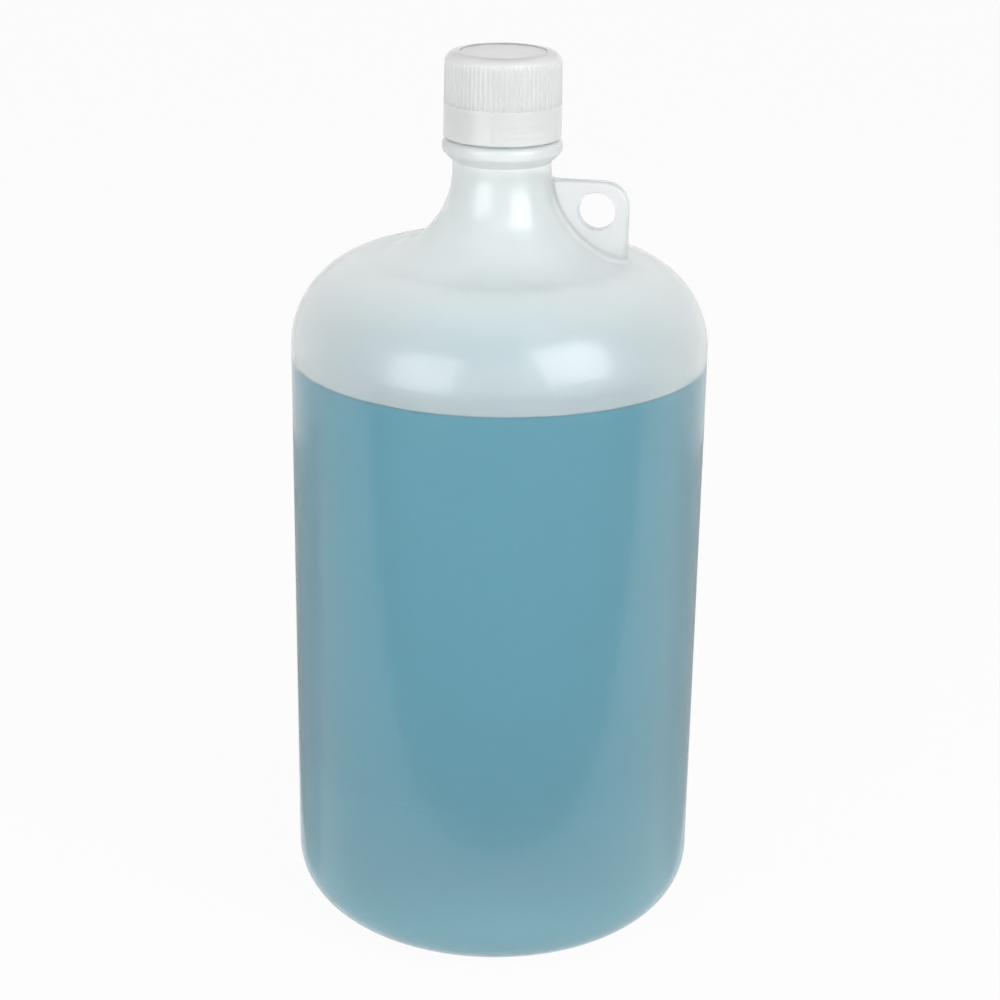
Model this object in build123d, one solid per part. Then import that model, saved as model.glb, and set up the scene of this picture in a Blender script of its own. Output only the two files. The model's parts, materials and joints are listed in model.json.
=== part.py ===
from build123d import *
import os
from math import atan2, cos, degrees, pi, radians, sin, sqrt

# Narrow mouth laboratory bottle: a blown polypropylene bottle with a flat lug beside its neck,
# a ribbed screw cap, and the blue liquid that stands in it nearly to the top of the straight wall.
# All lengths are in millimetres. The bottle stands on the plane z = 0 with its axis on Z,
# and the lug points along +X.

# Body of the bottle
body_radius = 79.0
body_wall = 1.8
wall_top = 230.0
base_corner_radius = 20.5
base_wall = 2.4
standing_ring_width = 8.0
push_up_height = 4.0

# Shoulder and neck: a convex shoulder that runs straight into a concave flare
shoulder_radius = 34.5
flare_radius = 33.1
neck_radius = 18.4
neck_length = 3.3

# Bead, the stiff ring on the neck just under the cap
bead_depth = 3.95
bead_band = 1.0
bead_edge_radius = 2.3
bead_flank_angle = 45.0

# Screw finish, the tube that the cap screws on, with its pouring rim
finish_step = 1.0
finish_wall = 2.6
thread_depth = 1.3
rim_edge_radius = 0.8

# Lug, a flat tab pinched between neck and shoulder, with a round hole
lug_length = 29.6
lug_thickness = 5.0
lug_top_drop = 2.6
lug_corner_radius = 9.0
lug_edge_radius = 1.4
lug_root_radius = 2.0
lug_hole_radius = 7.0
lug_hole_inset = 11.8
lug_hole_drop = 11.1

# Screw cap
cap_height = 31.3
cap_skirt_wall = 2.8
cap_draft = 0.4
cap_top_thickness = 2.0
cap_crown_edge_radius = 4.5
cap_skirt_edge_radius = 0.5
cap_panel_margin = 5.7
cap_panel_depth = 0.4
cap_skirt_band = 12.6
rib_pitch = 1.88
rib_groove_radius = 0.75
rib_groove_depth = 0.5
seal_ring_height = 3.0
seal_ring_wall = 1.4

# Liquid: how far its level lies below the top of the straight wall
liquid_headroom = 4.0

# Clearances
bead_clearance = 0.7
thread_clearance = 0.4
seal_clearance = 0.3
liquid_clearance = 0.15
overrun = 2.0

# Radii that follow from the neck
finish_radius = neck_radius - finish_step
mouth_radius = finish_radius - finish_wall
bead_radius = neck_radius + bead_depth
cap_bore_radius = finish_radius + thread_depth + thread_clearance
cap_skirt_radius = cap_bore_radius + cap_skirt_wall
cap_crown_radius = cap_skirt_radius - cap_draft
cap_panel_radius = cap_crown_radius - cap_panel_margin
lug_reach = neck_radius + lug_length

# Centres of the shoulder and flare arcs, as distance from the axis and height. The flare's centre
# stands so high that the two arcs touch with a common tangent.
shoulder_centre = (body_radius - shoulder_radius, wall_top)
flare_axis_distance = neck_radius + flare_radius
flare_lean = flare_axis_distance - shoulder_centre[0]
flare_height = wall_top + sqrt((shoulder_radius + flare_radius) ** 2 - flare_lean ** 2)
flare_centre = (flare_axis_distance, flare_height)

# Bead, from the foot of its slanted flank up, and the levels of the cap above it
flank_slope = radians(bead_flank_angle)
bead_edge_distance = bead_radius - bead_edge_radius
flank_width = bead_edge_distance + bead_edge_radius * cos(flank_slope) - neck_radius
flank_foot = flare_height + neck_length
lower_edge_height = flank_foot + flank_width / sin(flank_slope) * cos(flank_slope)
lower_edge_height += bead_edge_radius * sin(flank_slope)
upper_edge_height = lower_edge_height + bead_band
bead_top = upper_edge_height + bead_edge_radius
cap_bottom = bead_top + bead_clearance
cap_top = cap_bottom + cap_height
rim_top = cap_top - cap_top_thickness
lug_top = flare_height - lug_top_drop


def spot(radius, height):
    """A point of a half section, given by its distance from the axis and its height."""
    return (radius, 0, height)


def on_circle(centre, radius, angle):
    """The point of a circle in the half section at an angle above the outward direction."""
    turn = radians(angle)
    return spot(centre[0] + radius * cos(turn), centre[1] + radius * sin(turn))


def arc(centre, radius, start, end):
    """An arc in the half section between two angles about its centre."""
    middle = (start + end) / 2
    return ThreePointArc(*[on_circle(centre, radius, angle) for angle in (start, middle, end)])


def heading(from_centre, to_centre):
    """Angle above the outward direction from one arc's centre to the other's."""
    return degrees(atan2(to_centre[1] - from_centre[1], to_centre[0] - from_centre[0]))


def dome(half_width, rise, height):
    """A shallow arc from the axis down to a level, for the push-up of the base."""
    radius = (half_width ** 2 + rise ** 2) / (2 * rise)
    centre = (0, height + rise - radius)
    return arc(centre, radius, 90, heading(centre, (half_width, height)))


def turned(*steps):
    """The solid of revolution about Z of a half section, given as points and arcs in order."""
    edges = []
    ends = [(step @ 0, step @ 1) if isinstance(step, Edge) else (Vector(step), Vector(step)) for step in steps]
    for step, (start, end), (next_start, _) in zip(steps, ends, ends[1:] + ends[:1]):
        if isinstance(step, Edge):
            edges.append(step)
        if (next_start - end).length > 0:
            edges.append(Line(end, next_start))
    return revolve(make_face(edges), Axis.Z)


def bottle_outside():
    """The full outer form of the bottle, from the push-up base to the pouring rim."""
    ring_outer = body_radius - base_corner_radius
    ring_inner = ring_outer - standing_ring_width
    meet = heading(shoulder_centre, flare_centre)
    rim_centre = (finish_radius - rim_edge_radius, rim_top - rim_edge_radius)
    return turned(
        dome(ring_inner, push_up_height, 0),
        arc((ring_outer, base_corner_radius), base_corner_radius, -90, 0),
        arc(shoulder_centre, shoulder_radius, 0, meet),
        arc(flare_centre, flare_radius, meet - 180, -180),
        spot(neck_radius, flank_foot),
        arc((bead_edge_distance, lower_edge_height), bead_edge_radius, -bead_flank_angle, 0),
        arc((bead_edge_distance, upper_edge_height), bead_edge_radius, 0, 90),
        spot(finish_radius, bead_top),
        arc(rim_centre, rim_edge_radius, 0, 90),
        spot(0, rim_top),
    )


def cavity_base(shrink):
    """The lower outline of the space inside the wall, held back from the wall by a shrink."""
    corner_radius = base_corner_radius - body_wall - shrink
    floor = base_wall + shrink
    ring_outer = body_radius - base_corner_radius
    ring_inner = ring_outer - standing_ring_width
    return [
        dome(ring_inner, push_up_height, floor),
        arc((ring_outer, floor + corner_radius), corner_radius, -90, 0),
    ]


def cavity():
    """The whole space inside the bottle, out through its mouth."""
    inner_shoulder = shoulder_radius - body_wall
    lean = mouth_radius - shoulder_centre[0]
    rise = flare_height - wall_top
    inner_flare = (lean ** 2 + rise ** 2 - inner_shoulder ** 2) / (2 * (inner_shoulder - lean))
    inner_flare_centre = (mouth_radius + inner_flare, flare_height)
    meet = heading(shoulder_centre, inner_flare_centre)
    return turned(
        *cavity_base(0),
        arc(shoulder_centre, inner_shoulder, 0, meet),
        arc(inner_flare_centre, inner_flare, meet - 180, -180),
        spot(mouth_radius, rim_top + overrun),
        spot(0, rim_top + overrun),
    )


def lug():
    """The flat tab with its rounded outer corner and edges, and the hole through it."""
    root = (mouth_radius + neck_radius) / 2
    tab = Pos((root + lug_reach) / 2, 0, (wall_top + lug_top) / 2) * Box(
        lug_reach - root, lug_thickness, lug_top - wall_top
    )
    corners = tab.edges().filter_by(Axis.Y).group_by(Axis.X)[-1]
    tab = fillet(corners.sort_by(Axis.Z)[-1], lug_corner_radius)
    sides = tab.faces().filter_by(Axis.Y).edges()
    free_edges = sides.filter_by(lambda edge: edge.center().X > root and edge.center().Z > wall_top)
    tab = fillet(free_edges, lug_edge_radius)
    drill = Pos(lug_reach - lug_hole_inset, 0, lug_top - lug_hole_drop) * Rot(X=90) * Cylinder(
        lug_hole_radius, lug_thickness + overrun
    )
    return tab - drill


def bottle():
    """The blown bottle: outer form and lug in one piece, hollowed to its wall thickness."""
    outside = bottle_outside()
    tab = lug()
    joined = outside + tab
    joined = fillet(new_edges(outside, tab, combined=joined), lug_root_radius)
    return joined - cavity()


def cap_shell():
    """The solid form of the cap: drafted side, small round at its foot and a rounded crown."""
    shell = turned(
        spot(0, cap_bottom),
        spot(cap_skirt_radius, cap_bottom),
        spot(cap_crown_radius, cap_top),
        spot(0, cap_top),
    )
    foot, crown = shell.edges().filter_by(GeomType.CIRCLE).sort_by(Axis.Z)
    shell = fillet(crown, cap_crown_edge_radius)
    foot = shell.edges().filter_by(GeomType.CIRCLE).sort_by(Axis.Z)[0]
    return fillet(foot, cap_skirt_edge_radius)


def rib_grooves():
    """The grooves that leave the grip ribs standing, each one along the drafted side."""
    foot_radius = cap_skirt_radius - cap_draft * cap_skirt_band / cap_height
    rib_count = round(2 * pi * foot_radius / rib_pitch)
    groove = (
        Pos(foot_radius + rib_groove_radius - rib_groove_depth, 0, cap_bottom + cap_skirt_band)
        * Rot(Y=-degrees(atan2(cap_draft, cap_height)))
        * Cylinder(
            rib_groove_radius,
            cap_height - cap_skirt_band + overrun,
            align=(Align.CENTER, Align.CENTER, Align.MIN),
        )
    )
    return [place * groove for place in PolarLocations(0, rib_count)]


def screw_cap():
    """The moulded cap: ribbed upper wall, smooth skirt, sunk top panel and a seal ring inside."""
    bore = turned(
        spot(0, cap_bottom - overrun),
        spot(cap_bore_radius, cap_bottom - overrun),
        spot(cap_bore_radius, rim_top),
        spot(0, rim_top),
    )
    panel = turned(
        spot(0, cap_top - cap_panel_depth),
        spot(cap_panel_radius, cap_top - cap_panel_depth),
        spot(cap_panel_radius, cap_top + overrun),
        spot(0, cap_top + overrun),
    )
    seal_radius = mouth_radius - seal_clearance
    seal = turned(
        spot(seal_radius, rim_top),
        spot(seal_radius, rim_top - seal_ring_height),
        spot(seal_radius - seal_ring_wall, rim_top - seal_ring_height),
        spot(seal_radius - seal_ring_wall, rim_top),
    )
    return cap_shell() - rib_grooves() - bore - panel + seal


def blue_liquid():
    """The liquid, which fills the bottle up to its level."""
    level = wall_top - liquid_headroom
    side = body_radius - body_wall - liquid_clearance
    return turned(*cavity_base(liquid_clearance), spot(side, level), spot(0, level))


os.makedirs("parts", exist_ok=True)
pieces = {"bottle": bottle(), "screw_cap": screw_cap(), "blue_liquid": blue_liquid()}
for name, solid in pieces.items():
    solid.label = name
    export_step(solid, f"parts/{name}.step")
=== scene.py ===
import collections
import json
import math

import bmesh
import bpy
from bpy.props import FloatProperty, IntProperty, PointerProperty, StringProperty
from mathutils import Matrix, Vector


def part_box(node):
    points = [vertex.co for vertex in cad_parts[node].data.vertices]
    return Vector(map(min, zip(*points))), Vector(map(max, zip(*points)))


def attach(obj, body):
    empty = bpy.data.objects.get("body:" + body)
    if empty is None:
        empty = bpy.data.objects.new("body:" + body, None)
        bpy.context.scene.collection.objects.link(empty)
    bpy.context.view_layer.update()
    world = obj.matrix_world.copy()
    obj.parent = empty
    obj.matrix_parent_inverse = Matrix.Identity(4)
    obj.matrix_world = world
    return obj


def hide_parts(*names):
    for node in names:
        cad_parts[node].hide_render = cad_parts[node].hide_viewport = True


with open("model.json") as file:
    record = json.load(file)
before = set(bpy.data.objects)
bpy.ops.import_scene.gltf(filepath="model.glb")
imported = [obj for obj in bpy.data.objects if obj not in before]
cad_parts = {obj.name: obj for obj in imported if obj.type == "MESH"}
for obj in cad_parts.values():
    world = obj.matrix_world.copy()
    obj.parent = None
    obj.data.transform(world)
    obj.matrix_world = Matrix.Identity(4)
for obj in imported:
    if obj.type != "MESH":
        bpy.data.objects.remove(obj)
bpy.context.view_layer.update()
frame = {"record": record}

bl_info = {
    "name": "Narrow mouth lab bottle",
    "version": (1, 0, 0),
    "blender": (4, 5, 0),
    "location": "View3D > Sidebar > Lab bottle",
    "description": "Dresses a blown polypropylene bottle, its ribbed screw cap and the blue liquid in it",
    "category": "Object",
}

# The model's own sizes, in metres: the box of the whole, the heights of its nodes, and the lug's hole
RIM_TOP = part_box("bottle")[1].z
CAP_FOOT, CAP_TOP = (corner.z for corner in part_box("screw_cap"))
LIQUID_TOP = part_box("blue_liquid")[1].z
LUG_MOUNT = next(mount for mount in frame["record"]["mounts"] if mount["name"] == "lug_hole")
LUG_HOLE = Vector(LUG_MOUNT["pos_m"])

MM = 0.001

# How finely meshes are drawn: steps of each kind of arc, the reach of the rows that hold a flat run
# flat beside a round, and what counts as one point or as no face
DOME_STEPS, CORNER_STEPS, SHOULDER_STEPS, FLANK_STEPS, BEAD_STEPS, RIM_STEPS = 16, 20, 32, 5, 8, 6
OUTER_EDGE_STEPS, INNER_EDGE_STEPS = 4, 3
LUG_COLUMNS, LUG_CORNER_STEPS, LUG_EDGE_STEPS = 36, 12, 5
THREAD_STEPS_PER_TURN = 96
COLUMNS_PER_RIB = 8
SUPPORT = 0.7 * MM
ONE_POINT = 1e-6
NO_FACE = 1e-13

# How far a thread's root is sunk into its wall, so that the two join, the gap that the cap's thread
# leaves over the neck's root, and the height of the step at which the cap's grooves end
THREAD_SUNK = 0.3 * MM
THREAD_GAP = 0.35 * MM
GROOVE_LIP = 0.01 * MM

# Optics of the materials, and the spacing of the soft waves that blowing and moulding leave in a skin
POLYPROPYLENE_IOR = 1.49
GLOSSY_SHARE = 0.6
WATER_IOR = 1.33
DYE_DENSITY = 18.5
BLOWN_GRAIN = 9 * MM
MOULDED_GRAIN = 4 * MM

# Share of light that goes through instead of being scattered, by height: outside, where the wall gets
# thick at the neck and bead, inside above the liquid, and in the liquid itself, whose lower share at the
# base is painted light: the paler haze there stands in for the light from the floor
NECK_CLEARNESS = ((286 * MM, 0.95), (297 * MM, 0.85), (301 * MM, 0.42), (304 * MM, 0.42), (307 * MM, 0.58))
DRY_CLEARNESS = ((228 * MM, 0.5), (250 * MM, 0.6), (264 * MM, 0.42), (285 * MM, 0.37))
LIQUID_CLEARNESS_AND_PAINTED_BASE_LIGHT = ((12 * MM, 0.62), (75 * MM, 0.82))

WHITE = "#FFFFFF"

# The grey side cards: the corner that lies nearest the bottle, to the camera's right and away from it,
# and the length of the two sides that run from there, with their bearings in degrees
SIDE_CARD_CORNER = Vector((0.095, -0.02))
SIDE_CARD_LENGTH = 0.62
SIDE_CARD_BEARINGS = (116, 172)

# The camera's sensor, in millimetres, and how far it sees, in metres
SENSOR_WIDTH = 36
VIEW_REACH = 50


class BottleSizes(bpy.types.PropertyGroup):
    """Sizes of the blown bottle."""

    body_radius: FloatProperty(
        name="Body radius", description="Outside radius of the straight wall",
        default=0.079, unit="LENGTH")
    wall: FloatProperty(
        name="Wall", description="Thickness of the blown wall", default=0.0018, unit="LENGTH")
    base_wall: FloatProperty(
        name="Base wall", description="Thickness of the base", default=0.0024, unit="LENGTH")
    wall_top: FloatProperty(
        name="Wall top", description="Height at which the straight wall ends", default=0.230, unit="LENGTH")
    corner_radius: FloatProperty(
        name="Base corner", description="Radius of the round at the foot", default=0.0205, unit="LENGTH")
    ring_width: FloatProperty(
        name="Standing ring", description="Width of the flat ring it stands on", default=0.008, unit="LENGTH")
    push_up: FloatProperty(
        name="Push-up", description="Rise of the base over its ring", default=0.004, unit="LENGTH")
    shoulder_radius: FloatProperty(
        name="Shoulder radius", description="Radius of the convex shoulder", default=0.0345, unit="LENGTH")
    flare_radius: FloatProperty(
        name="Flare radius", description="Radius of the concave flare", default=0.0331, unit="LENGTH")
    neck_radius: FloatProperty(
        name="Neck radius", description="Outside radius of the neck", default=0.0184, unit="LENGTH")
    finish_radius: FloatProperty(
        name="Finish radius", description="Root radius of the screw finish", default=0.0174, unit="LENGTH")
    mouth_radius: FloatProperty(
        name="Mouth radius", description="Radius of the mouth's bore", default=0.0148, unit="LENGTH")
    bead_radius: FloatProperty(
        name="Bead radius", description="Outside radius of the bead", default=0.02235, unit="LENGTH")
    bead_edge: FloatProperty(
        name="Bead edge", description="Radius of the bead's rounded edges", default=0.0023, unit="LENGTH")
    bead_band: FloatProperty(
        name="Bead band", description="Straight height of the bead's side", default=0.0010, unit="LENGTH")
    neck_length: FloatProperty(
        name="Neck length", description="Straight neck between flare and bead", default=0.0033, unit="LENGTH")
    rim_edge: FloatProperty(
        name="Rim edge", description="Radius of the pouring rim's edges", default=0.0008, unit="LENGTH")
    mould_line_height: FloatProperty(
        name="Mould line height", description="Height of the faint line round the lower wall",
        default=0.0695, unit="LENGTH")
    mould_line_depth: FloatProperty(
        name="Mould line depth", description="How deep that line is", default=0.00008, unit="LENGTH")
    seam_width: FloatProperty(
        name="Seam width", description="Width of the ridge along the mould's parting plane",
        default=0.0007, unit="LENGTH")
    seam_depth: FloatProperty(
        name="Seam depth", description="Depth of the two fine grooves beside that ridge",
        default=0.00004, unit="LENGTH")
    columns: IntProperty(
        name="Columns", description="Columns of faces round half of the bottle", default=128)


class LugSizes(bpy.types.PropertyGroup):
    """Sizes of the flat tab beside the neck."""

    reach: FloatProperty(
        name="Reach", description="Distance of its outer end from the axis", default=0.048, unit="LENGTH")
    thickness: FloatProperty(
        name="Thickness", description="Thickness of the tab",
        default=LUG_MOUNT["dims"]["length_mm"] * MM, unit="LENGTH")
    top_drop: FloatProperty(
        name="Top drop", description="How far its top lies below the flare's end",
        default=0.0026, unit="LENGTH")
    corner_radius: FloatProperty(
        name="Corner radius", description="Radius of its free corner", default=0.009, unit="LENGTH")
    edge_radius: FloatProperty(
        name="Edge radius", description="Radius of its rounded edges", default=0.0014, unit="LENGTH")
    root_radius: FloatProperty(
        name="Root radius", description="Radius of the fillet where it meets the wall",
        default=0.002, unit="LENGTH")
    hole_radius: FloatProperty(
        name="Hole radius", description="Radius of the hole",
        default=LUG_MOUNT["dims"]["r_mm"] * MM, unit="LENGTH")
    hole_edge: FloatProperty(
        name="Hole edge", description="Radius of the hole's worn edges", default=0.0004, unit="LENGTH")


class ThreadSizes(bpy.types.PropertyGroup):
    """Sizes of the screw thread on the neck and in the cap."""

    pitch: FloatProperty(
        name="Pitch", description="Rise of the thread in one turn", default=0.00423, unit="LENGTH")
    depth: FloatProperty(
        name="Depth", description="Height of the thread over its root", default=0.0013, unit="LENGTH")
    root_width: FloatProperty(
        name="Root width", description="Width of the thread at its root", default=0.0022, unit="LENGTH")
    crest_width: FloatProperty(
        name="Crest width", description="Width of the thread at its crest", default=0.0009, unit="LENGTH")
    turns: FloatProperty(name="Turns", description="Length of the thread in turns", default=3.2)
    start_height: FloatProperty(
        name="Start", description="Height of the thread's lower end above the bead",
        default=0.0028, unit="LENGTH")


class CapSizes(bpy.types.PropertyGroup):
    """Sizes of the screw cap."""

    skirt_radius: FloatProperty(
        name="Skirt radius", description="Outside radius at the cap's foot", default=0.0219, unit="LENGTH")
    crown_radius: FloatProperty(
        name="Crown radius", description="Outside radius at the cap's top", default=0.0215, unit="LENGTH")
    bore_radius: FloatProperty(
        name="Bore radius", description="Radius of the cap's bore", default=0.0191, unit="LENGTH")
    top_thickness: FloatProperty(
        name="Top thickness", description="Thickness of the cap's top", default=0.002, unit="LENGTH")
    crown_edge: FloatProperty(
        name="Crown edge", description="Radius of the rounded crown", default=0.0045, unit="LENGTH")
    foot_edge: FloatProperty(
        name="Foot edge", description="Radius of the round at the cap's foot", default=0.0005, unit="LENGTH")
    panel_radius: FloatProperty(
        name="Panel radius", description="Radius of the sunk panel on the top", default=0.0158, unit="LENGTH")
    panel_depth: FloatProperty(
        name="Panel depth", description="Depth of that panel", default=0.0004, unit="LENGTH")
    skirt_band: FloatProperty(
        name="Skirt band", description="Height of the smooth band under the ribs",
        default=0.0126, unit="LENGTH")
    rib_count: IntProperty(name="Ribs", description="Ribs round the cap", default=73)
    rib_depth: FloatProperty(
        name="Rib depth", description="Depth of the grooves between ribs", default=0.0005, unit="LENGTH")
    seal_wall: FloatProperty(
        name="Seal wall", description="Thickness of the seal ring inside", default=0.0014, unit="LENGTH")
    seal_height: FloatProperty(
        name="Seal height", description="Height of the seal ring inside", default=0.003, unit="LENGTH")
    seal_clearance: FloatProperty(
        name="Seal clearance", description="Gap between seal ring and mouth", default=0.0003, unit="LENGTH")
    thread_short: FloatProperty(
        name="Thread short", description="Turns by which its thread is shorter than the neck's", default=0.3)


class LiquidSizes(bpy.types.PropertyGroup):
    """Sizes of the liquid."""

    level: FloatProperty(
        name="Level", description="Height of the liquid's surface", default=LIQUID_TOP, unit="LENGTH")
    meniscus_rise: FloatProperty(
        name="Meniscus rise", description="How far the surface climbs at the wall",
        default=0.0012, unit="LENGTH")
    meniscus_reach: FloatProperty(
        name="Meniscus reach", description="How wide that climb is", default=0.0035, unit="LENGTH")
    wetting: FloatProperty(
        name="Wetting", description="How far the liquid reaches into the wall, so that no air lies between",
        default=0.0003, unit="LENGTH")


class Finishes(bpy.types.PropertyGroup):
    """Colours, as sRGB hex values."""

    wall_colour: StringProperty(
        name="Wall", description="Colour of the blown polypropylene", default="#FCFFFF")
    inner_colour: StringProperty(
        name="Inner skin", description="Colour of the polypropylene on its inner side", default="#FAFEFE")
    lug_colour: StringProperty(
        name="Lug", description="Colour of the polypropylene where it is solid", default="#F1F3F4")
    cap_colour: StringProperty(
        name="Cap", description="Colour of the moulded polypropylene", default="#FDFDFD")
    liquid_colour: StringProperty(
        name="Liquid", description="Colour that the liquid lets through", default="#58DAE5")
    # The liquid's own pale haze, shown more strongly towards the base as painted light from the floor
    haze_and_painted_base_light_colour: StringProperty(
        name="Haze", description="Colour of the light that the liquid scatters back", default="#A8F0FF")
    floor_colour: StringProperty(
        name="Floor", description="Colour of the floor", default="#D2D2D2")
    flag_colour: StringProperty(
        name="Flag", description="Colour of the dark card in front of the bottle", default="#1A1B1C")
    side_card_colour: StringProperty(
        name="Side cards", description="Colour of the grey cards beside the bottle", default="#D2D2D2")


class StageSizes(bpy.types.PropertyGroup):
    """Places of the camera, the cards and the lamps, and how strong the light is."""

    camera_azimuth: FloatProperty(
        name="Camera azimuth", description="Turn of the camera round the bottle",
        default=math.radians(11.5), subtype="ANGLE")
    camera_distance: FloatProperty(
        name="Camera distance", description="Distance of the camera from the axis, in plan",
        default=0.8354, unit="LENGTH")
    camera_height: FloatProperty(
        name="Camera height", description="Height of the camera over the floor",
        default=0.4786, unit="LENGTH")
    camera_pitch: FloatProperty(
        name="Camera pitch", description="How far the camera looks down",
        default=math.radians(20.51), subtype="ANGLE")
    camera_pan: FloatProperty(
        name="Camera pan", description="How far the camera looks past the axis",
        default=math.radians(0.07), subtype="ANGLE")
    camera_roll: FloatProperty(
        name="Camera roll", description="Tilt of the camera about its own line of sight",
        default=math.radians(0.83), subtype="ANGLE")
    camera_lens: FloatProperty(
        name="Lens", description="Focal length of the camera, in millimetres", default=82.26, unit="CAMERA")
    card_distance: FloatProperty(
        name="Card distance", description="Distance of the dark card's near edge from the axis",
        default=0.17, unit="LENGTH")
    card_turn: FloatProperty(
        name="Card turn", description="How far that edge is turned from the camera's square",
        default=math.radians(4.6), subtype="ANGLE")
    card_side: FloatProperty(
        name="Card side", description="Length of the dark card's sides", default=3.0, unit="LENGTH")
    lamp_distance: FloatProperty(
        name="Lamp distance", description="Distance of both softboxes from the neck",
        default=1.2, unit="LENGTH")
    left_power: FloatProperty(
        name="Left softbox", description="Power of the softbox on the left", default=6.5, unit="POWER")
    right_power: FloatProperty(
        name="Right softbox", description="Power of the softbox on the right", default=10.6, unit="POWER")
    surround_light: FloatProperty(
        name="Surround", description="Strength of the even light that the surround sheds", default=0.54)
    floor_glow: FloatProperty(
        name="Floor glow", description="Share of plain white in the floor that the eye sees",
        default=0.95, min=0.0, max=1.0, subtype="FACTOR")
    floor_reach: FloatProperty(
        name="Floor reach", description="Distance of the floor's edges from the axis",
        default=6.0, unit="LENGTH")


def linear(hex_colour):
    """An sRGB hex value as a linear colour with alpha."""
    shares = [int(hex_colour[i:i + 2], 16) / 255 for i in (1, 3, 5)]
    return [s / 12.92 if s <= 0.04045 else ((s + 0.055) / 1.055) ** 2.4 for s in shares] + [1.0]


def add_node(tree, kind, inputs=None, **settings):
    """Adds a node with its settings, and links or sets its inputs by name or number."""
    node = tree.nodes.new(kind)
    for name, value in settings.items():
        setattr(node, name, value)
    for socket, value in (inputs or {}).items():
        if isinstance(value, bpy.types.NodeSocket):
            tree.links.new(value, node.inputs[socket])
        else:
            node.inputs[socket].default_value = value
    return node


def new_material(name):
    """An empty node material and its tree."""
    material = bpy.data.materials.new(name)
    material.use_nodes = True
    material.node_tree.nodes.clear()
    return material, material.node_tree


def by_height(tree, stops):
    """A value that changes on the way up the piece, from pairs of height and value, or one for all."""
    if isinstance(stops, float):
        return stops
    low, high = stops[0][0], stops[-1][0]
    place = add_node(tree, "ShaderNodeTexCoord")
    parts = add_node(tree, "ShaderNodeSeparateXYZ", {0: place.outputs["Object"]})
    share = add_node(tree, "ShaderNodeMapRange", {
        "Value": parts.outputs["Z"], "From Min": low, "From Max": high})
    ramp = add_node(tree, "ShaderNodeValToRGB", {0: share.outputs["Result"]})
    marks = ramp.color_ramp.elements
    for height, value in stops:
        ends = {low: marks[0], high: marks[-1]}
        mark = ends.get(height) or marks.new((height - low) / (high - low))
        mark.color = (value, value, value, 1)
    return ramp.outputs["Color"]


def polypropylene(name, colour, grain, satin, clearness, gloss):
    """Polypropylene's outer skin: a faintly uneven satin of a given grain under a thin glossy layer.

    satin is the range of its roughness, and gloss the roughness of the layer on it. The noise keeps
    to the middle of its range, and the relief is a thirtieth of the grain, too low to see but in gloss.
    """
    material, tree = new_material(name)
    place = add_node(tree, "ShaderNodeTexCoord")
    skin = add_node(tree, "ShaderNodeTexNoise", {
        "Vector": place.outputs["Object"], "Scale": 1 / grain, "Detail": 3.0, "Roughness": 0.5})
    uneven = add_node(tree, "ShaderNodeMapRange", {
        "Value": skin.outputs["Fac"], "From Min": 0.3, "From Max": 0.7,
        "To Min": satin[0], "To Max": satin[1]})
    relief = add_node(tree, "ShaderNodeBump", {
        "Height": skin.outputs["Fac"], "Strength": 0.08, "Distance": grain / 30})
    surface = add_node(tree, "ShaderNodeBsdfPrincipled", {
        "Base Color": linear(colour), "Roughness": uneven.outputs["Result"], "IOR": POLYPROPYLENE_IOR,
        "Transmission Weight": by_height(tree, clearness), "Specular IOR Level": 0.0,
        "Coat Weight": GLOSSY_SHARE, "Coat Roughness": gloss, "Coat IOR": POLYPROPYLENE_IOR,
        "Normal": relief.outputs["Normal"]})
    add_node(tree, "ShaderNodeOutputMaterial", {"Surface": surface.outputs["BSDF"]})
    return material


def blown_polypropylene(colours):
    """Blow-moulded polypropylene outside: milky, lets scattered light through, softly glossy."""
    return polypropylene(
        "polypropylene_blown_milky", colours.wall_colour, BLOWN_GRAIN, satin=(0.38, 0.42),
        clearness=NECK_CLEARNESS, gloss=0.12)


def solid_polypropylene(colours):
    """The same where the mould pinches it solid in the lug: thicker, so whiter and less clear."""
    return polypropylene(
        "polypropylene_pinched_solid", colours.lug_colour, BLOWN_GRAIN, satin=(0.38, 0.42),
        clearness=0.8, gloss=0.22)


def moulded_polypropylene(colours):
    """Injection-moulded polypropylene of the cap: milkier outside than the wall, with a satin skin."""
    return polypropylene(
        "polypropylene_moulded_satin", colours.cap_colour, MOULDED_GRAIN, satin=(0.29, 0.34),
        clearness=0.54, gloss=0.14)


def inner_skin(colours, name, roughness, clearness):
    """The same polypropylene inside, which scatters light where it is dry and clears where it is wet."""
    material, tree = new_material(name)
    surface = add_node(tree, "ShaderNodeBsdfPrincipled", {
        "Base Color": linear(colours.inner_colour), "Roughness": roughness, "IOR": POLYPROPYLENE_IOR,
        "Transmission Weight": by_height(tree, clearness), "Specular IOR Level": 0.0})
    add_node(tree, "ShaderNodeOutputMaterial", {"Surface": surface.outputs["BSDF"]})
    return material


def dyed_water(colours):
    """Water with a blue dye, deeper in colour the longer light runs in it; its pale haze grows towards the
    base as painted light, standing in for the light from the floor.
    """
    material, tree = new_material("water_dyed_blue")
    # Less clearness towards the base lets more haze show there: painted light from the floor
    surface = add_node(tree, "ShaderNodeBsdfPrincipled", {
        "Base Color": linear(colours.haze_and_painted_base_light_colour), "Roughness": 0.0, "IOR": WATER_IOR,
        "Transmission Weight": by_height(tree, LIQUID_CLEARNESS_AND_PAINTED_BASE_LIGHT), "Specular IOR Level": 0.0})
    depth = add_node(tree, "ShaderNodeVolumeAbsorption", {
        "Color": linear(colours.liquid_colour), "Density": DYE_DENSITY})
    add_node(tree, "ShaderNodeOutputMaterial", {
        "Surface": surface.outputs["BSDF"], "Volume": depth.outputs["Volume"]})
    return material


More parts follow.
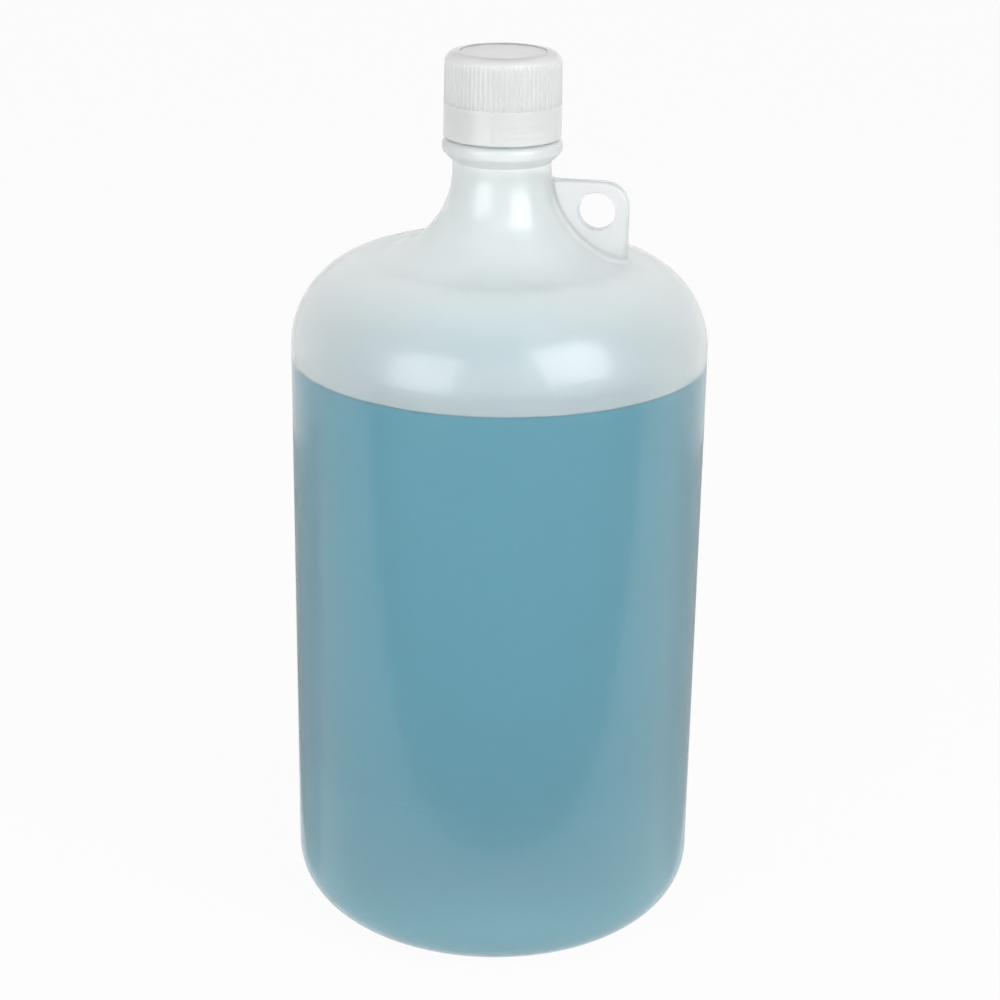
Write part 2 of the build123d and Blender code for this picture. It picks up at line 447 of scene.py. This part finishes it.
def arc_points(centre, radius, start, end, steps):
    """Points of an arc in the half section, by angles in degrees above the outward direction."""
    points = []
    for i in range(steps + 1):
        turn = math.radians(start + (end - start) * i / steps)
        points.append((centre[0] + radius * math.cos(turn), centre[1] + radius * math.sin(turn)))
    return points


def heading(from_centre, to_centre):
    """Angle in degrees from one point of the half section to another."""
    return math.degrees(math.atan2(to_centre[1] - from_centre[1], to_centre[0] - from_centre[0]))


def dome_points(half_width, rise, height, steps):
    """A shallow arc from the axis down to a level."""
    radius = (half_width ** 2 + rise ** 2) / (2 * rise)
    centre = (0, height + rise - radius)
    return arc_points(centre, radius, 90, heading(centre, (half_width, height)), steps)


def supported(points):
    """Adds points near both ends of each long run, so that smooth shading keeps to the rounds."""
    path = points[:1]
    for start, end in zip(points, points[1:]):
        length = math.dist(start, end)
        if length > 4 * SUPPORT:
            for share in (SUPPORT / length, 1 - SUPPORT / length):
                path.append(tuple(p + (q - p) * share for p, q in zip(start, end)))
        path.append(end)
    return path


def chain(mesh, points):
    """A row of vertices and edges in the plane y = 0 from points given as radius and height."""
    verts = [mesh.verts.new((radius, 0, height)) for radius, height in points]
    edges = [mesh.edges.new(pair) for pair in zip(verts, verts[1:])]
    return verts + edges


def close_up(mesh):
    """Merges what meets on the axis and at seams, and turns all faces outwards."""
    bmesh.ops.remove_doubles(mesh, verts=mesh.verts, dist=ONE_POINT)
    flat = [face for face in mesh.faces if face.calc_area() < NO_FACE]
    bmesh.ops.delete(mesh, geom=flat, context="FACES_ONLY")
    bmesh.ops.recalc_face_normals(mesh, faces=mesh.faces)


def spin_up(mesh, geometry, angle, steps, rise=0.0):
    """Sweeps geometry about the Z axis, with a rise per step for a screw, and gives back its end."""
    swept = bmesh.ops.spin(
        mesh, geom=geometry, cent=(0, 0, 0), axis=(0, 0, 1), dvec=(0, 0, rise),
        angle=angle, steps=steps, use_merge=False, use_duplicate=False)
    return swept["geom_last"]


def as_object(mesh, name, *materials):
    """Turns a bmesh into an object of the scene."""
    data = bpy.data.meshes.new(name)
    mesh.to_mesh(data)
    mesh.free()
    for material in materials:
        data.materials.append(material)
    piece = bpy.data.objects.new(name, data)
    bpy.context.scene.collection.objects.link(piece)
    return piece


def join(target, tool):
    """Joins one closed mesh to another in one wall, and removes the other."""
    modifier = target.modifiers.new("join", "BOOLEAN")
    modifier.object = tool
    modifier.operation = "UNION"
    modifier.solver = "EXACT"
    modifier.material_mode = "TRANSFER"
    depsgraph = bpy.context.evaluated_depsgraph_get()
    done = bpy.data.meshes.new_from_object(target.evaluated_get(depsgraph))
    target.modifiers.clear()
    target.data = done
    bpy.data.objects.remove(tool)


def smooth(piece, sharp_angle):
    """Smooth shading that keeps edges sharper than an angle."""
    piece.data.shade_smooth()
    piece.data.set_sharp_from_angle(angle=math.radians(sharp_angle))
    piece.modifiers.new("flat_faces_stay_flat", "WEIGHTED_NORMAL").keep_sharp = True


def mark_inside(mesh, middle_height, *borders):
    """Gives faces that look into the hollow the second material, and a further one past each border.

    Faces that are nearly level are told apart by whether they look away from a middle height.
    """
    nearly_level = 0.2
    for face in mesh.faces:
        centre = face.calc_center_median()
        outward = (face.normal.x * centre.x + face.normal.y * centre.y) / math.hypot(centre.x, centre.y)
        if abs(outward) < nearly_level:
            outward = face.normal.z * (centre.z - middle_height)
        if outward < 0:
            face.material_index = 1 + sum(centre.z > border for border in borders)


def hand_over(piece, node, body):
    """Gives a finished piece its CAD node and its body."""
    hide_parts(node)
    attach(piece, body)


NeckLevels = collections.namedtuple(
    "NeckLevels", "shoulder flare edge_distance flank_foot lower_edge upper_edge bead_top")


def neck_levels(sizes):
    """The centres and heights that the neck's outline needs, worked out from its sizes."""
    shoulder = (sizes.body_radius - sizes.shoulder_radius, sizes.wall_top)
    flare_distance = sizes.neck_radius + sizes.flare_radius
    reach = sizes.shoulder_radius + sizes.flare_radius
    flare = (flare_distance, sizes.wall_top + math.sqrt(reach ** 2 - (flare_distance - shoulder[0]) ** 2))
    edge_distance = sizes.bead_radius - sizes.bead_edge
    slant = sizes.bead_edge * math.sqrt(0.5)
    flank_foot = flare[1] + sizes.neck_length
    lower_edge = flank_foot + edge_distance + slant - sizes.neck_radius + slant
    upper_edge = lower_edge + sizes.bead_band
    bead_top = upper_edge + sizes.bead_edge
    return NeckLevels(shoulder, flare, edge_distance, flank_foot, lower_edge, upper_edge, bead_top)


def bottle_outline(sizes):
    """The bottle's half section, from the axis under the base, over the rim, to the axis inside."""
    shoulder, flare, edge_distance, flank_foot, lower_edge, upper_edge, bead_top = neck_levels(sizes)
    ring_outer = sizes.body_radius - sizes.corner_radius
    ring_inner = ring_outer - sizes.ring_width
    meet = heading(shoulder, flare)
    rim = sizes.rim_edge
    line, depth = sizes.mould_line_height, sizes.mould_line_depth
    mould_line = [
        (sizes.body_radius, line - 4 * depth), (sizes.body_radius - depth, line),
        (sizes.body_radius, line + 4 * depth)]
    inner_shoulder = sizes.shoulder_radius - sizes.wall
    lean = sizes.mouth_radius - shoulder[0]
    climb = flare[1] - sizes.wall_top
    inner_flare = (lean ** 2 + climb ** 2 - inner_shoulder ** 2) / (2 * (inner_shoulder - lean))
    inner_centre = (sizes.mouth_radius + inner_flare, flare[1])
    inner_meet = heading(shoulder, inner_centre)
    inner_corner = sizes.corner_radius - sizes.wall
    return (
        dome_points(ring_inner, sizes.push_up, 0, DOME_STEPS)
        + arc_points((ring_outer, sizes.corner_radius), sizes.corner_radius, -90, 0, CORNER_STEPS)
        + mould_line
        + arc_points(shoulder, sizes.shoulder_radius, 0, meet, SHOULDER_STEPS)
        + arc_points(flare, sizes.flare_radius, meet - 180, -180, SHOULDER_STEPS)[1:]
        + [(sizes.neck_radius, flank_foot)]
        + arc_points((edge_distance, lower_edge), sizes.bead_edge, -45, 0, FLANK_STEPS)
        + arc_points((edge_distance, upper_edge), sizes.bead_edge, 0, 90, BEAD_STEPS)
        + [(sizes.finish_radius, bead_top)]
        + arc_points((sizes.finish_radius - rim, RIM_TOP - rim), rim, 0, 90, RIM_STEPS)
        + arc_points((sizes.mouth_radius + rim, RIM_TOP - rim), rim, 90, 180, RIM_STEPS)
        + arc_points(inner_centre, inner_flare, -180, inner_meet - 180, SHOULDER_STEPS)
        + arc_points(shoulder, inner_shoulder, inner_meet, 0, SHOULDER_STEPS)[1:]
        + [(sizes.body_radius - sizes.wall, LIQUID_TOP)]
        + arc_points((ring_outer, sizes.base_wall + inner_corner), inner_corner, 0, -90, CORNER_STEPS)
        + dome_points(ring_inner, sizes.push_up, sizes.base_wall, DOME_STEPS)[::-1]
    )


def blown_shell(sizes, colours):
    """The bottle's wall, spun about its axis, with close columns along the two parting seams."""
    mesh = bmesh.new()
    step = sizes.seam_width / 2 / sizes.body_radius
    seam_columns = 4
    seam = seam_columns * step
    geometry = chain(mesh, supported(bottle_outline(sizes)))
    bmesh.ops.rotate(mesh, verts=mesh.verts, cent=(0, 0, 0), matrix=Matrix.Rotation(-seam / 2, 3, "Z"))
    for _ in range(2):
        geometry = spin_up(mesh, geometry, seam, seam_columns)
        geometry = spin_up(mesh, geometry, math.pi - seam, sizes.columns)
    close_up(mesh)
    mesh.normal_update()
    neck = neck_levels(sizes)
    for vert in mesh.verts:
        outward = Vector((vert.co.x, vert.co.y, vert.co.z - sizes.wall_top / 2))
        beside = math.isclose(abs(vert.co.y), abs(vert.co.x) * math.tan(step), rel_tol=0.01)
        if beside and vert.normal.dot(outward) > 0 and sizes.corner_radius / 4 < vert.co.z < neck.flank_foot:
            vert.co -= vert.normal * sizes.seam_depth
    mark_inside(mesh, sizes.wall_top / 2, LIQUID_TOP, neck.upper_edge)
    return as_object(
        mesh, "bottle_wall", blown_polypropylene(colours),
        inner_skin(colours, "polypropylene_inside_wet", roughness=0.4, clearness=0.98),
        inner_skin(colours, "polypropylene_inside_dry", roughness=0.3, clearness=DRY_CLEARNESS),
        inner_skin(colours, "polypropylene_inside_finish", roughness=0.3, clearness=0.92))


def lug_outline(lug, flare, row_radius, count):
    """One row of the lug's points at a radius about the flare's centre, from its top to its end."""
    top = flare[1] - lug.top_drop
    start = 180 - math.degrees(math.asin((top - flare[1]) / row_radius))
    end = 360 - math.degrees(math.acos((lug.reach - flare[0]) / row_radius))
    gap = math.degrees(2 * lug.edge_radius / row_radius)
    first, last = arc_points(flare, row_radius, start, end, 1)
    return [first, *arc_points(flare, row_radius, start + gap, end - gap, count - 2), last]


def lug_free_edge(lug, flare, sizes, count):
    """The lug's free outline, along its top, round its corner and down its end, evenly spaced."""
    top = flare[1] - lug.top_drop
    inset = 4 * lug.root_radius
    corner = (lug.reach - lug.corner_radius, top - lug.corner_radius)
    start = (sizes.neck_radius + inset, top)
    foot = flare[1] - math.sqrt(sizes.flare_radius ** 2 - (lug.reach - flare[0]) ** 2)
    round_corner = arc_points(corner, lug.corner_radius, 90, 0, LUG_CORNER_STEPS)
    path = [start, *round_corner, (lug.reach, foot + inset)]
    lengths = [math.dist(a, b) for a, b in zip(path, path[1:])]
    points = []
    for i in range(count + 1):
        left = sum(lengths) * i / count
        for a, b, length in zip(path, path[1:], lengths):
            if left <= length + ONE_POINT / 1000:
                break
            left -= length
        points.append(tuple(p + (q - p) * min(left / length, 1) for p, q in zip(a, b)))
    return points


def lug_sheet(sizes, lug):
    """The lug's middle plane: fillet rows along its root, then faces that run round its hole."""
    flare = neck_levels(sizes).flare
    count = LUG_COLUMNS
    root = lug.root_radius
    fillet_turns = [math.radians(turn) for turn in range(80, -1, -10)]
    heights = [-sizes.wall / 2] + [root * (1 - math.sin(turn)) for turn in fillet_turns]
    rows = [lug_outline(lug, flare, sizes.flare_radius - height, count) for height in heights]
    mesh = bmesh.new()
    geometry = chain(mesh, rows[0])
    for row in rows[1:]:
        edges = [part for part in geometry if isinstance(part, bmesh.types.BMEdge)]
        geometry = bmesh.ops.extrude_edge_only(mesh, edges=edges)["geom"]
        last_row = [part for part in geometry if isinstance(part, bmesh.types.BMVert)]
        for vert, (radius, height) in zip(last_row, row):
            vert.co = (radius, 0, height)
    root_edges = [
        part for part in geometry
        if isinstance(part, bmesh.types.BMEdge) and all(vert in last_row for vert in part.verts)]
    free_edge = chain(mesh, lug_free_edge(lug, flare, sizes, count))
    free_verts, free_edges = free_edge[:count + 1], free_edge[count + 1:]
    ends = [mesh.edges.new((last_row[i], free_verts[i])) for i in (0, -1)]
    drawn_in = bmesh.ops.extrude_edge_only(mesh, edges=[*root_edges, *free_edges, *ends])["geom"]
    middle = Vector((LUG_HOLE.x, 0, LUG_HOLE.z))
    for vert in drawn_in:
        if isinstance(vert, bmesh.types.BMVert):
            vert.co = middle + (vert.co - middle).normalized() * lug.hole_radius
    return mesh


def lug_plate(sizes, lug, solid):
    """The flat tab with its hole, rounded at its free edges and filleted where it meets the wall."""
    flare = neck_levels(sizes).flare
    root = lug.root_radius
    half = lug.thickness / 2
    mesh = lug_sheet(sizes, lug)
    bmesh.ops.translate(mesh, verts=mesh.verts, vec=(0, -half, 0))
    grown = bmesh.ops.extrude_face_region(mesh, geom=mesh.faces[:])["geom"]
    far_side = [part for part in grown if isinstance(part, bmesh.types.BMVert)]
    bmesh.ops.translate(mesh, verts=far_side, vec=(0, 2 * half, 0))
    bmesh.ops.recalc_face_normals(mesh, faces=mesh.faces)

    def hole_distance(vert):
        return math.dist((vert.co.x, vert.co.z), (LUG_HOLE.x, LUG_HOLE.z))

    limit = sizes.flare_radius + sizes.wall / 4
    sharp_radians = 1.2
    corners = [
        edge for edge in mesh.edges
        if len(edge.link_faces) == 2 and edge.calc_face_angle() > sharp_radians
        and any(math.dist((vert.co.x, vert.co.z), flare) < limit for vert in edge.verts)
        and abs(edge.verts[0].co.y - edge.verts[1].co.y) < half / 2]
    rim = [edge for edge in corners if hole_distance(edge.verts[0]) < lug.hole_radius + lug.hole_edge]
    free = [edge for edge in corners if edge not in rim]
    for edges, radius in ((free, lug.edge_radius), (rim, lug.hole_edge)):
        bmesh.ops.bevel(
            mesh, geom=edges, offset=radius, offset_type="OFFSET", segments=LUG_EDGE_STEPS, profile=0.5,
            affect="EDGES", material=-1)
    bmesh.ops.recalc_face_normals(mesh, faces=mesh.faces)
    mesh.normal_update()
    moves = []
    for vert in mesh.verts:
        inward = Vector((flare[0] - vert.co.x, 0, flare[1] - vert.co.z))
        height = sizes.flare_radius - inward.length
        if height > 2 * root:
            continue
        across = vert.normal - inward.normalized() * vert.normal.dot(inward.normalized())
        lift = root - math.sqrt(max(root ** 2 - (root - min(max(height, 0), root)) ** 2, 0))
        moves.append((vert, across.normalized() * lift if across.length > 0.1 else Vector(), height))
    for vert, move, height in moves:
        vert.co += move
        share = min(max(2 - height / root, 0), 1)
        wrapped = math.sqrt(max(vert.co.x ** 2 - vert.co.y ** 2, 0))
        vert.co.x += (wrapped - vert.co.x) * share
    return as_object(mesh, "lug_plate", solid)


def thread_ridge(thread, root_radius, crest_radius, start_height, turns, name):
    """A trapezoid ridge swept up a helix, which fades out at both of its ends."""
    root, crest = thread.root_width / 2, thread.crest_width / 2
    outline = [
        (root_radius, start_height - root), (crest_radius, start_height - crest),
        (crest_radius, start_height + crest), (root_radius, start_height + root)]
    mesh = bmesh.new()
    corners = chain(mesh, outline)[:len(outline)]
    mesh.faces.new(corners)
    start_face = mesh.faces[:] + mesh.edges[:] + mesh.verts[:]
    angle = 2 * math.pi * turns
    steps = round(turns * THREAD_STEPS_PER_TURN)
    spin_up(mesh, start_face, angle, steps, thread.pitch / THREAD_STEPS_PER_TURN)
    bmesh.ops.recalc_face_normals(mesh, faces=mesh.faces)
    fade, least_share = math.radians(40), 0.02
    for vert in mesh.verts:
        radius = math.hypot(vert.co.x, vert.co.y)
        along = (vert.co.z - start_height) / thread.pitch * 2 * math.pi
        near_end = min(along, angle - along) / fade
        share = min(max(near_end, least_share), 1)
        wanted = root_radius + (radius - root_radius) * share
        vert.co.x *= wanted / radius
        vert.co.y *= wanted / radius
    return as_object(mesh, name)


class LABBOTTLE_OT_bottle(bpy.types.Operator):
    """Makes the blown bottle: wall, lug with its hole, and the thread on its finish"""

    bl_idname = "labbottle.bottle"
    bl_label = "Blown bottle"

    def execute(self, context):
        scene = context.scene
        sizes, lug, thread = scene.labbottle_bottle, scene.labbottle_lug, scene.labbottle_thread
        wall = blown_shell(sizes, scene.labbottle_finishes)
        join(wall, lug_plate(sizes, lug, solid_polypropylene(scene.labbottle_finishes)))
        bead_top = neck_levels(sizes).bead_top
        ridge = thread_ridge(
            thread, sizes.finish_radius - THREAD_SUNK, sizes.finish_radius + thread.depth,
            bead_top + thread.start_height, thread.turns, "neck_thread")
        join(wall, ridge)
        smooth(wall, sharp_angle=40)
        hand_over(wall, "bottle", "bottle")
        return {"FINISHED"}


def cap_side(cap, height):
    """Radius of the cap's drafted side at a height."""
    share = (height - CAP_FOOT) / (CAP_TOP - CAP_FOOT)
    return cap.skirt_radius + (cap.crown_radius - cap.skirt_radius) * share


def cap_outline(cap, mouth_radius):
    """The cap's half section, from the middle of its top, down its side and back up inside it."""
    foot, top = CAP_FOOT, CAP_TOP
    draft = math.degrees(math.atan2(cap.skirt_radius - cap.crown_radius, top - foot))
    groove_foot = foot + cap.skirt_band
    crown_centre = (cap.crown_radius - cap.crown_edge, top - cap.crown_edge)
    foot_centre = (cap.skirt_radius - cap.foot_edge, foot + cap.foot_edge)
    seal_outer = mouth_radius - cap.seal_clearance
    seal_inner = seal_outer - cap.seal_wall
    under = top - cap.top_thickness
    panel = top - cap.panel_depth
    edge = 0.25 * MM
    return (
        [(0, panel), (cap.panel_radius / 2, panel)]
        + arc_points((cap.panel_radius - edge, panel + edge), edge, -90, 0, INNER_EDGE_STEPS)
        + arc_points((cap.panel_radius + edge, top - edge), edge, 180, 90, OUTER_EDGE_STEPS)
        + arc_points(crown_centre, cap.crown_edge, 90, draft, CORNER_STEPS)
        + [(cap_side(cap, height), height) for height in (groove_foot + GROOVE_LIP, groove_foot)]
        + arc_points(foot_centre, cap.foot_edge, 0, -90, OUTER_EDGE_STEPS)
        + arc_points((cap.bore_radius + edge, foot + edge), edge, -90, -180, INNER_EDGE_STEPS)
        + [(cap.bore_radius, under), (seal_outer, under), (seal_outer, under - cap.seal_height),
           (seal_inner, under - cap.seal_height), (seal_inner, under), (0, under)]
    )


def cut_ribs(mesh, cap):
    """Presses rounded grooves into the upper side of a spun cap, so that ribs are left between them.

    A groove is as wide as its share of the pitch between ribs, and stays clear of the bore.
    """
    groove_foot = CAP_FOOT + cap.skirt_band
    half_width_share = 0.37
    least_radius = cap.bore_radius + 0.5 * MM
    for vert in mesh.verts:
        radius = math.hypot(vert.co.x, vert.co.y)
        if vert.co.z < groove_foot + GROOVE_LIP / 2 or radius < least_radius:
            continue
        turn = math.atan2(vert.co.y, vert.co.x) / (2 * math.pi) * cap.rib_count
        off = (turn - round(turn)) / half_width_share
        depth = cap.rib_depth * math.sqrt(max(1 - off ** 2, 0))
        wanted = min(radius, cap_side(cap, vert.co.z) - depth)
        vert.co.x *= wanted / radius
        vert.co.y *= wanted / radius


class LABBOTTLE_OT_cap(bpy.types.Operator):
    """Makes the ribbed screw cap with its inner thread and seal ring"""

    bl_idname = "labbottle.cap"
    bl_label = "Screw cap"

    def execute(self, context):
        scene = context.scene
        sizes, cap, thread = scene.labbottle_bottle, scene.labbottle_cap, scene.labbottle_thread
        mesh = bmesh.new()
        geometry = chain(mesh, supported(cap_outline(cap, sizes.mouth_radius)))
        spin_up(mesh, geometry, 2 * math.pi, COLUMNS_PER_RIB * cap.rib_count)
        close_up(mesh)
        cut_ribs(mesh, cap)
        below_top = CAP_TOP - 1.5 * cap.top_thickness
        mark_inside(mesh, below_top)
        colours = scene.labbottle_finishes
        piece = as_object(
            mesh, "cap_wall", moulded_polypropylene(colours),
            inner_skin(colours, "polypropylene_cap_inside", roughness=0.25, clearness=0.97))
        bead_top = neck_levels(sizes).bead_top
        ridge = thread_ridge(
            thread, cap.bore_radius + THREAD_SUNK, sizes.finish_radius + THREAD_GAP,
            bead_top + thread.start_height - thread.pitch / 2, thread.turns - cap.thread_short, "cap_thread")
        join(piece, ridge)
        smooth(piece, sharp_angle=35)
        hand_over(piece, "screw_cap", "cap")
        return {"FINISHED"}


class LABBOTTLE_OT_liquid(bpy.types.Operator):
    """Makes the liquid, which wets the wall and climbs a little where it meets it"""

    bl_idname = "labbottle.liquid"
    bl_label = "Blue liquid"

    def execute(self, context):
        scene = context.scene
        sizes, liquid = scene.labbottle_bottle, scene.labbottle_liquid
        wet = liquid.wetting
        corner = sizes.corner_radius - sizes.wall + wet
        floor = sizes.base_wall - wet
        ring_outer = sizes.body_radius - sizes.corner_radius
        side = ring_outer + corner
        rise, reach = liquid.meniscus_rise, liquid.meniscus_reach
        climb = [
            (side - reach * share, liquid.level - rise + rise * (1 - share) ** 3)
            for share in (0, 0.1, 0.2, 0.3, 0.45, 0.6, 0.8, 1)]
        outline = (
            dome_points(ring_outer - sizes.ring_width, sizes.push_up, floor, DOME_STEPS)
            + arc_points((ring_outer, floor + corner), corner, -90, 0, CORNER_STEPS)
            + climb
            + [(side / 2, liquid.level - rise), (0, liquid.level - rise)])
        mesh = bmesh.new()
        spin_up(mesh, chain(mesh, supported(outline)), 2 * math.pi, 2 * sizes.columns)
        close_up(mesh)
        piece = as_object(mesh, "liquid_body", dyed_water(scene.labbottle_finishes))
        smooth(piece, sharp_angle=35)
        hand_over(piece, "blue_liquid", "bottle")
        return {"FINISHED"}


def seen_rays(tree):
    """A factor that is 1 for what the eye sees, straight, through walls or in reflections."""
    path = add_node(tree, "ShaderNodeLightPath")
    seen = path.outputs["Is Camera Ray"]
    for ray in ("Is Transmission Ray", "Is Glossy Ray"):
        seen = add_node(
            tree, "ShaderNodeMath", {0: seen, 1: path.outputs[ray]}, operation="MAXIMUM").outputs[0]
    return seen


def studio_floor(colours, glow_share):
    """A pale studio floor, white to the eye, on which a soft shadow stays."""
    material, tree = new_material("studio_floor_white")
    matt = add_node(tree, "ShaderNodeBsdfDiffuse", {"Color": linear(colours.floor_colour)})
    glow = add_node(tree, "ShaderNodeEmission", {"Color": linear(WHITE), "Strength": 1.0})
    share = add_node(tree, "ShaderNodeMath", {0: seen_rays(tree), 1: glow_share}, operation="MULTIPLY")
    mixed = add_node(tree, "ShaderNodeMixShader", {
        0: share.outputs[0], 1: matt.outputs[0], 2: glow.outputs[0]})
    add_node(tree, "ShaderNodeOutputMaterial", {"Surface": mixed.outputs[0]})
    return material


def matt_card(name, colour):
    """Matt studio card, which the gloss of the wall reflects: a dark middle and calm sides."""
    material, tree = new_material(name)
    matt = add_node(tree, "ShaderNodeBsdfDiffuse", {"Color": linear(colour)})
    add_node(tree, "ShaderNodeOutputMaterial", {"Surface": matt.outputs[0]})
    return material


def floor_card(name, stage, corners, material):
    """A card on the floor that only reflections show, with corners to the camera's right and away from it."""
    card = bmesh.new()
    card.faces.new([card.verts.new((right, away, MM)) for right, away in corners])
    bmesh.ops.rotate(
        card, verts=card.verts, cent=(0, 0, 0), matrix=Matrix.Rotation(stage.camera_azimuth, 3, "Z"))
    shown = as_object(card, name, material)
    shown.visible_camera = shown.visible_diffuse = shown.visible_transmission = shown.visible_shadow = False


def studio_world(even_light):
    """A white surround to the eye, and a dimmer even light on the object."""
    world = bpy.data.worlds.new("studio_surround")
    bpy.context.scene.world = world
    world.use_nodes = True
    tree = world.node_tree
    tree.nodes.clear()
    strength = add_node(tree, "ShaderNodeMapRange", {
        "Value": seen_rays(tree), "To Min": even_light, "To Max": 1.0})
    light = add_node(tree, "ShaderNodeBackground", {
        "Color": linear(WHITE), "Strength": strength.outputs["Result"]})
    add_node(tree, "ShaderNodeOutputWorld", {"Surface": light.outputs[0]})


def softbox(name, stage, azimuth, elevation, width, height, power):
    """A soft lamp that looks at the neck, placed by its bearing from the camera's side."""
    neck_share = 0.75
    target = Vector((0, 0, RIM_TOP * neck_share))
    turn = stage.camera_azimuth + math.radians(azimuth)
    lift = math.radians(elevation)
    away = Vector((math.sin(turn) * math.cos(lift), -math.cos(turn) * math.cos(lift), math.sin(lift)))
    data = bpy.data.lights.new(name, "AREA")
    data.shape = "RECTANGLE"
    data.size, data.size_y = width, height
    data.energy = power
    lamp = bpy.data.objects.new(name, data)
    lamp.location = target + away * stage.lamp_distance
    lamp.rotation_euler = (-away).to_track_quat("-Z", "Y").to_euler()
    bpy.context.scene.collection.objects.link(lamp)


class LABBOTTLE_OT_stage(bpy.types.Operator):
    """Makes the floor, the cards on it, the lamps, the surround and the camera"""

    bl_idname = "labbottle.stage"
    bl_label = "Stage"

    def execute(self, context):
        scene = context.scene
        stage = scene.labbottle_stage
        scene.view_settings.view_transform = "Standard"
        mesh = bmesh.new()
        bmesh.ops.create_grid(mesh, x_segments=1, y_segments=1, size=stage.floor_reach)
        floor = as_object(mesh, "studio_floor", studio_floor(scene.labbottle_finishes, stage.floor_glow))
        half, slope = stage.card_side / 2, math.sin(stage.card_turn)
        near, far = -stage.card_distance, -stage.card_distance - stage.card_side
        floor_card(
            "dark_card", stage,
            [(-half, near - half * slope), (-half, far), (half, far), (half, near + half * slope)],
            matt_card("card_black_matt", scene.labbottle_finishes.flag_colour))
        grey = matt_card("card_grey_matt", scene.labbottle_finishes.side_card_colour)
        corners = [SIDE_CARD_CORNER]
        for bearing in map(math.radians, SIDE_CARD_BEARINGS):
            along = Vector((math.sin(bearing), -math.cos(bearing)))
            corners.append(SIDE_CARD_CORNER + along * SIDE_CARD_LENGTH)
        for name, side in (("side_card_left", -1), ("side_card_right", 1)):
            floor_card(name, stage, [(side * right, away) for right, away in corners], grey)
        studio_world(stage.surround_light)
        softbox(
            "softbox_left", stage, azimuth=-41, elevation=13.5, width=0.72, height=0.88,
            power=stage.left_power)
        softbox(
            "softbox_right", stage, azimuth=42.5, elevation=26.5, width=0.8, height=0.95,
            power=stage.right_power)
        data = bpy.data.cameras.new("camera")
        data.lens = stage.camera_lens
        data.sensor_width = SENSOR_WIDTH
        data.clip_end = VIEW_REACH
        camera = bpy.data.objects.new("camera", data)
        turn = stage.camera_azimuth
        place = Vector((math.sin(turn), -math.cos(turn), 0)) * stage.camera_distance
        place.z = stage.camera_height
        camera.matrix_world = (
            Matrix.Translation(place)
            @ Matrix.Rotation(turn - stage.camera_pan, 4, "Z")
            @ Matrix.Rotation(math.pi / 2 - stage.camera_pitch, 4, "X")
            @ Matrix.Rotation(stage.camera_roll, 4, "Z"))
        scene.collection.objects.link(camera)
        scene.camera = camera
        return {"FINISHED"}


class LABBOTTLE_PT_panel(bpy.types.Panel):
    """Lists the pieces of the bottle and their sizes."""

    bl_idname = "LABBOTTLE_PT_panel"
    bl_label = "Lab bottle"
    bl_space_type = "VIEW_3D"
    bl_region_type = "UI"
    bl_category = "Lab bottle"

    def draw(self, context):
        for operator, groups in PANEL_ROWS:
            self.layout.operator(operator)
            for group in groups:
                settings = getattr(context.scene, group)
                for name in settings.bl_rna.properties.keys():
                    if name not in ("rna_type", "name"):
                        self.layout.prop(settings, name)


PANEL_ROWS = (
    ("labbottle.bottle", ("labbottle_bottle", "labbottle_lug", "labbottle_thread")),
    ("labbottle.cap", ("labbottle_cap",)),
    ("labbottle.liquid", ("labbottle_liquid",)),
    ("labbottle.stage", ("labbottle_stage", "labbottle_finishes")),
)
GROUPS = {
    "labbottle_bottle": BottleSizes,
    "labbottle_lug": LugSizes,
    "labbottle_thread": ThreadSizes,
    "labbottle_cap": CapSizes,
    "labbottle_liquid": LiquidSizes,
    "labbottle_finishes": Finishes,
    "labbottle_stage": StageSizes,
}
CLASSES = (
    *GROUPS.values(), LABBOTTLE_OT_bottle, LABBOTTLE_OT_cap, LABBOTTLE_OT_liquid, LABBOTTLE_OT_stage,
    LABBOTTLE_PT_panel)


def register():
    for cls in CLASSES:
        bpy.utils.register_class(cls)
    for name, group in GROUPS.items():
        setattr(bpy.types.Scene, name, PointerProperty(type=group))


def unregister():
    for name in GROUPS:
        delattr(bpy.types.Scene, name)
    for cls in reversed(CLASSES):
        bpy.utils.unregister_class(cls)


def main():
    register()
    bpy.ops.labbottle.bottle()
    bpy.ops.labbottle.cap()
    bpy.ops.labbottle.liquid()
    bpy.ops.labbottle.stage()


if __name__ == "__main__":
    main()
